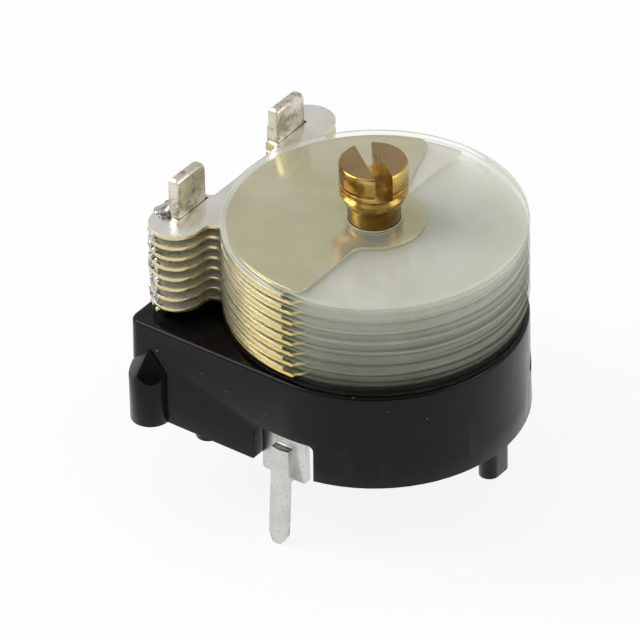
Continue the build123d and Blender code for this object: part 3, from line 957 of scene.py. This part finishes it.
@dataclass
class Shaft:
    """The turned shaft with its slotted head."""

    levels: Stack
    head_top: float = 10.0
    head: float = 1.09
    head_height: float = 0.68
    ring_height: float = 0.3
    groove: float = 0.1
    groove_depth: float = 0.14
    collar_height: float = 0.52
    taper: float = 0.2
    neck: float = 0.84
    core: float = 0.6
    core_bottom: float = 4.41
    journal: float = 0.57
    clip_groove: float = 0.14
    clip_top: float = 1.79
    clip_bottom: float = 1.59
    foot: float = 1.34
    chamfer: float = 0.05
    corner: float = 0.022
    slot_width: float = 0.56
    slot_depth: float = 0.9
    slot_angle: float = -36.0
    steps: int = 160

    def build(self) -> None:
        """Spins the shaft, cuts its slot and dresses it."""
        ring_top = self.head_top - self.head_height
        ring_bottom = ring_top - self.ring_height
        collar_bottom = ring_bottom - self.collar_height
        core_top = self.levels.plate_top(2 * self.levels.rotors - 2)
        clip_radius = self.journal - self.clip_groove
        groove_radius = self.head - self.groove_depth
        profile = [
            (0, self.foot), (self.journal, self.foot), (self.journal, self.clip_bottom),
            (clip_radius, self.clip_bottom), (clip_radius, self.clip_top), (self.journal, self.clip_top),
            (self.journal, self.core_bottom), (self.core, self.core_bottom), (self.core, core_top),
            (self.neck, core_top), (self.neck, collar_bottom), (self.head - self.taper, collar_bottom),
            (self.head, ring_bottom - self.groove), (groove_radius, ring_bottom),
            (self.head, ring_bottom + self.groove), (self.head, ring_top - self.chamfer),
            (groove_radius, ring_top), (self.head, ring_top + self.chamfer),
            (self.head, self.head_top - self.chamfer), (self.head - self.chamfer, self.head_top),
            (0, self.head_top),
        ]
        mesh = spun(profile, self.steps, self.corner)
        # A bar across the head, half of it above the top
        bar = bmesh.new()
        bmesh.ops.create_cube(bar, size=1.0)
        bmesh.ops.scale(bar, vec=(4 * self.head, self.slot_width, 2 * self.slot_depth), verts=bar.verts)
        bmesh.ops.rotate(bar, cent=(0, 0, 0), matrix=Matrix.Rotation(math.radians(self.slot_angle), 3, "Z"),
                         verts=bar.verts)
        bmesh.ops.translate(bar, vec=(0, 0, self.head_top), verts=bar.verts)
        finish_piece("slotted_shaft", cut(mesh, bar), Slot.TURNED_BRASS, Body.ROTOR, "rotor_shaft")


@dataclass
class Housing:
    """The moulded housing, copied from the CAD with its edges rounded."""

    edge: float = 0.05
    sharp: float = 35.0
    flat_above: float = 40.0

    def build(self) -> None:
        """Builds and dresses the housing."""
        mesh = cad_copy("housing")
        round_edges(mesh, self.edge, self.sharp)
        finish_piece("moulded_housing", mesh, Slot.BLACK_PLASTIC, Body.STATOR, "housing", self.flat_above,
                     copied=True)


@dataclass
class Tags:
    """The two tinned tags."""

    edge: float = 0.04

    def build(self) -> None:
        """Builds and dresses the tags."""
        for side in ("left", "right"):
            mesh = cad_copy(f"stator_tag_{side}")
            round_edges(mesh, self.edge)
            finish_piece(f"tag_{side}", mesh, Slot.TINNED_TAG, Body.STATOR, f"stator_tag_{side}", copied=True)


@dataclass
class Collars:
    """The collars round the tags between the ears, squeezed thin where they stick out behind the tags."""

    levels: Stack
    half_x: float = 0.26
    half_y: float = 0.81

    def build(self) -> None:
        """Copies and dresses the collars."""
        for number in range(1, self.levels.stators):
            mesh = cad_copy(f"stator_spacer_{number}")
            for vert in mesh.verts:
                side = math.copysign(TAG.y, vert.co.y)
                vert.co.x = TAG.x + max(-self.half_x, min(self.half_x, vert.co.x - TAG.x))
                vert.co.y = side + max(-self.half_y, min(self.half_y, vert.co.y - side))
            finish_piece(f"collars_{number}", mesh, Slot.SILVER_SPACER, Body.STATOR,
                         f"stator_spacer_{number}", copied=True)


@dataclass
class Terminal:
    """The bent terminal with its creased pin. Its flange reaches to the window's edge."""

    edge: float = 0.04
    sharp: float = 50.0
    flat_above: float = 40.0
    flange_from: float = -1.0
    flange_front: float = -4.1
    flange_reach: float = 0.1

    def build(self) -> None:
        """Builds and dresses the terminal."""
        mesh = cad_copy("rotor_terminal")
        for vert in mesh.verts:
            if vert.co.x < self.flange_from and vert.co.y < self.flange_front:
                vert.co.x -= self.flange_reach
        round_edges(mesh, self.edge, self.sharp)
        finish_piece("bent_terminal", mesh, Slot.TINNED_SHEET, Body.STATOR, "rotor_terminal",
                     self.flat_above, copied=True)


@dataclass
class Solder:
    """Hand-made solder: a smear at the foot of each tag, and a run down the outside of each tower."""

    levels: Stack
    tag_thickness: float = 0.39
    ear_x: float = -5.11
    ear_y: float = 3.452
    ear: float = 0.89
    deck: float = 4.45
    # The smear's lumps: half sizes, places along the tag and reach away from it
    smear_lumps: int = 26
    smear_size: Pair = (0.13, 0.12)
    smear_along: float = 1.35
    smear_shift: float = 0.35
    smear_in: float = 0.04
    smear_out: float = 0.42
    smear_rise: float = 0.1
    smear_clear: float = 1.4
    # The run's lumps: half sizes, degrees round the ear and heights
    run_lumps: int = 190
    run_size: Pair = (0.045, 0.075)
    run_turn: float = -40.0
    run_spread: float = 64.0
    run_in: float = 0.08
    run_out: float = 0.05
    run_foot: float = 0.25
    run_head: float = 0.15
    dent: float = 0.2
    dent_scale: float = 1.2
    voxel: float = 0.022
    rounds: int = 4
    flat_above: float = 75.0

    def lump(self, mesh: Mesh, place: Vector, size: Vector, seed: float, detail: int = 2) -> None:
        """Adds one lump.

        Args:
            mesh: The mesh that gets it.
            place: Its centre.
            size: Its half sizes.
            seed: Shifts its dents.
            detail: How finely the lump is divided.
        """
        made = bmesh.ops.create_icosphere(mesh, subdivisions=detail, radius=1.0)["verts"]
        for vert in made:
            vert.co *= 1 + self.dent * noise.noise(vert.co * self.dent_scale + Vector((seed, 0, 0)))
        bmesh.ops.scale(mesh, vec=size, verts=made)
        bmesh.ops.translate(mesh, vec=place, verts=made)

    @staticmethod
    def chance(index: int, row: float) -> float:
        """Returns a repeatable number from 0 to 1."""
        return (math.sin(index * 12.9898 + row * 78.233) * 43758.5453) % 1.0

    def smear(self, mesh: Mesh, side: int, top: float) -> None:
        """Adds the smear, which hugs the tag's back face and creeps round its outer end.

        Args:
            mesh: The mesh that gets it.
            side: -1 for the left tag, 1 for the right one.
            top: The height of the top ear.
        """
        face = TAG.x - self.tag_thickness / 2
        for index in range(self.smear_lumps):
            along = self.chance(index, side)
            out = self.chance(index, side + 3.0) ** 1.5
            size = self.smear_size[0] + self.smear_size[1] * self.chance(index, side + 5.0)
            place = Vector((face - self.smear_in - self.smear_out * out,
                            side * (TAG.y + (along - self.smear_shift) * self.smear_along),
                            top + self.smear_rise * (1 - out)))
            # On the far tag the smear ends at the corner, as in the photo
            if side < 0 or TAG.past(place) <= -self.smear_clear * size:
                self.lump(mesh, place, Vector((size, size * 1.3, size * (1.1 - 0.75 * out))), index)

    def run(self, mesh: Mesh, side: int, top: float) -> None:
        """Adds the run, which follows the plates' rims from top to bottom.

        Args:
            mesh: The mesh that gets it.
            side: -1 for the left tag, 1 for the right one.
            top: The height of the top ear.
        """
        for index in range(self.run_lumps):
            turn = math.radians(self.run_turn + self.run_spread * (self.chance(index, side + 7.0) - 0.5))
            drop = self.chance(index, side + 9.0)
            reach = self.ear - self.run_in + self.run_out * self.chance(index, side + 11.0)
            size = self.run_size[0] + self.run_size[1] * self.chance(index, side + 13.0) ** 2
            place = Vector((self.ear_x + reach * math.sin(turn),
                            side * (self.ear_y + reach * math.cos(turn)),
                            self.deck + self.run_foot
                            + drop * (top - self.deck - self.run_foot - self.run_head)))
            self.lump(mesh, place, Vector((size, size, size * 1.2)), index + 0.5, 1)

    def build(self) -> None:
        """Builds and dresses the solder of both tags."""
        top = self.levels.plate_top(2 * self.levels.stators - 1)
        for name, side in (("left", -1), ("right", 1)):
            mesh = bmesh.new()
            self.smear(mesh, side, top)
            self.run(mesh, side, top)
            finish_piece(f"solder_{name}", melt(mesh, self.voxel, self.rounds), Slot.SOLDER, Body.STATOR,
                         "tag_solder", self.flat_above)


@dataclass
class HiddenParts:
    """The CAD nodes that stay as they are and only get their finish."""

    levels: Stack

    def build(self) -> None:
        """Dresses the rotor's spacers, the washer and the clip."""
        dressed = {"spring_washer": Slot.SPRING_BRONZE, "shaft_clip": Slot.CLIP_STEEL}
        for number in range(1, self.levels.rotors + 1):
            dressed[f"rotor_spacer_{number}"] = Slot.BRASS_SPACER
        for node, slot in dressed.items():
            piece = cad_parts[node]
            piece.data.materials.clear()
            piece.data.materials.append(material_of(slot))
            LOG.info("%s: CAD node dressed as %s", node, slot.value)


@dataclass
class Studio:
    """Camera, floor, lamps and surroundings."""

    # The camera that was fitted to the photograph
    azimuth: float = 37.0
    elevation: float = 35.4
    roll: float = -1.3
    right_shift: float = -1.73
    up_shift: float = 2.36
    distance: float = 220.0
    lens: float = 390.656
    sensor: float = 36.0
    clip: Pair = (0.01, 5.0)
    look_at: tuple[float, float, float] = (-0.12, 0.02, 1.0)
    floor_level: float = -1.87
    floor_size: float = 400.0
    floor_colour: str = "#F4F4F4"
    floor_white: float = 0.88
    # Each lamp's name, azimuth, elevation, size in millimetres and power in watts
    lamps: tuple[tuple[str, float, float, float, float], ...] = (
        ("key", -58.0, 40.0, 120.0, 0.13),
        ("right", 110.0, 30.0, 110.0, 0.05),
        ("back", 290.0, 45.0, 120.0, 0.05),
    )
    lamp_distance: float = 180.0
    lamp_lift: float = 5.0
    # The room is bright but for a dark patch behind the camera
    dark_azimuth: float = 38.0
    dark_elevation: float = 8.0
    room_stops: Stops = ((0.6, (0.8, 0.8, 0.8, 1.0)), (0.93, (0.12, 0.12, 0.12, 1.0)))
    room_strength: float = 0.8

    def direction(self, azimuth: float, elevation: float) -> Vector:
        """Returns the unit vector towards a place seen from the object."""
        a, e = math.radians(azimuth), math.radians(elevation)
        return Vector((math.sin(a) * math.cos(e), -math.cos(a) * math.cos(e), math.sin(e)))

    def camera(self) -> None:
        """Creates the camera and looks through it."""
        back = self.direction(self.azimuth, self.elevation)
        level = math.radians(self.azimuth)
        right = Vector((math.cos(level), math.sin(level), 0))
        up = back.cross(right)
        roll = math.radians(self.roll)
        turned_right = math.cos(roll) * right + math.sin(roll) * up
        turned_up = -math.sin(roll) * right + math.cos(roll) * up
        place = (Vector(self.look_at) + self.right_shift * turned_right + self.up_shift * turned_up
                 + self.distance * back) * MM
        data = bpy.data.cameras.new("camera")
        data.lens, data.sensor_width = self.lens, self.sensor
        data.clip_start, data.clip_end = self.clip
        holder = put("camera", data)
        axes = Matrix((turned_right, turned_up, back)).transposed()
        holder.matrix_world = Matrix.Translation(place) @ axes.to_4x4()
        bpy.context.scene.camera = holder

    def floor(self) -> None:
        """Lays a floor of plain pale paper under the lowest point."""
        mesh = bmesh.new()
        bmesh.ops.create_grid(mesh, x_segments=1, y_segments=1, size=self.floor_size * MM / 2)
        bmesh.ops.translate(mesh, vec=(0, 0, self.floor_level * MM), verts=mesh.verts)
        material = bpy.data.materials.new("pale paper")
        material.use_nodes = True
        tree = material.node_tree
        paper = tree.nodes["Principled BSDF"]
        feed(tree, paper, {"Base Color": self.floor_colour, "Roughness": 0.9})
        # White to the camera and to mirrors, but for a soft shadow
        rays = add_node(tree, "LightPath").node.outputs
        seen = add_node(tree, "Math", (rays["Is Camera Ray"], rays["Is Glossy Ray"]), operation="MAXIMUM")
        share = add_node(tree, "Math", (seen, self.floor_white), operation="MULTIPLY")
        white = add_node(tree, "Emission", {"Color": "#FFFFFF", "Strength": 1.0})
        feed(tree, tree.nodes["Material Output"],
             {"Surface": add_node(tree, "MixShader", (share, paper.outputs["BSDF"], white))})
        sheet = put_mesh("floor", mesh)
        sheet.data.materials.append(material)

    def lights(self) -> None:
        """Hangs the soft lamps."""
        for name, azimuth, elevation, size, power in self.lamps:
            data = bpy.data.lights.new(name, "AREA")
            data.shape, data.size, data.energy = "DISK", size * MM, power
            lamp = put(name, data)
            towards = self.direction(azimuth, elevation)
            lamp.location = towards * self.lamp_distance * MM + Vector((0, 0, self.lamp_lift * MM))
            lamp.rotation_mode = "QUATERNION"
            lamp.rotation_quaternion = towards.to_track_quat("Z", "Y")

    def surroundings(self) -> None:
        """Makes the pale room: white to the camera, bright above and darker in front."""
        world = bpy.data.worlds.new("pale room")
        bpy.context.scene.world = world
        world.use_nodes = True
        tree = world.node_tree
        look = add_node(tree, "TexCoord", out="Generated")
        dark = self.direction(self.dark_azimuth, self.dark_elevation)
        dot = add_node(tree, "VectorMath", (look, tuple(dark)), "Value", operation="DOT_PRODUCT")
        room = tree.nodes["Background"]
        feed(tree, room, {"Color": add_node(tree, "ValToRGB", (dot,), stops=self.room_stops),
                          "Strength": self.room_strength})
        rays = add_node(tree, "LightPath", out="Is Camera Ray")
        white = add_node(tree, "Background", {"Color": "#FFFFFF", "Strength": 1.0})
        feed(tree, tree.nodes["World Output"],
             {"Surface": add_node(tree, "MixShader", (rays, room.outputs["Background"], white))})

    def build(self) -> None:
        """Sets up the whole studio."""
        bpy.context.scene.view_settings.view_transform = "Standard"
        self.camera()
        self.floor()
        self.lights()
        self.surroundings()


def main() -> None:
    """Builds the studio and every piece."""
    logging.basicConfig(level=logging.INFO, format="%(name)s: %(message)s")
    levels = Stack()
    for assembly in (Studio(), Housing(), Terminal(), PlateStack(levels), FilmStack(levels), Shaft(levels),
                     Tags(), Collars(levels), Solder(levels), HiddenParts(levels)):
        assembly.build()


if __name__ == "__main__":
    main()
